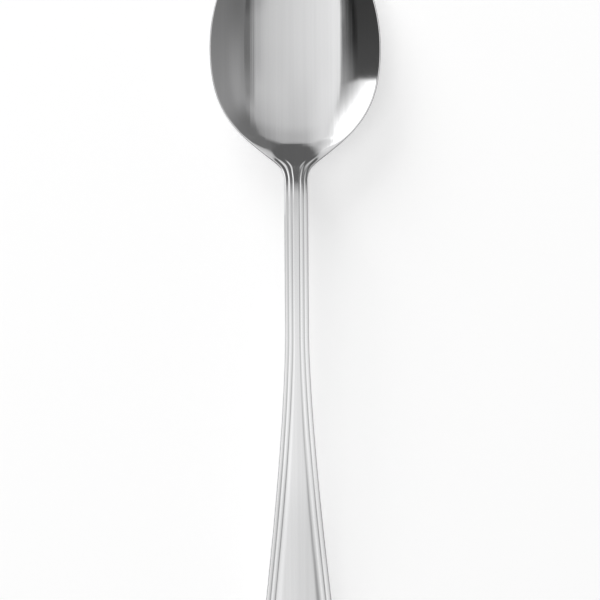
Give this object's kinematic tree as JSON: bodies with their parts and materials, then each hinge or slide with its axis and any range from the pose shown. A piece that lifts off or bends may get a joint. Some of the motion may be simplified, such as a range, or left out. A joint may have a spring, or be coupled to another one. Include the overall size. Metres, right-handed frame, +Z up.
{
  "type": "soup spoon",
  "caption": "Metal soup spoon: oval dished bowl, narrow neck and an arched handle that widens to a rounded end, with raised threads along both sides and a plain panel.",
  "frame": {"origin": "centre of the spoon's box in X and Y, on the table that the spoon lies on", "axes": "+Y along the spoon towards the bowl's tip, +Z up out of the bowl, +X across it"},
  "size_m": [0.042, 0.2, 0.018],
  "materials": {
    "bowl_steel": "polished stainless steel with fine lengthwise polishing lines",
    "handle_steel": "bright polished stainless steel, slightly softer than the bowl"
  },
  "bodies": {
    "root": {"bowl": "bowl_steel", "neck": "handle_steel", "handle": "handle_steel"}
  },
  "joints": []
}
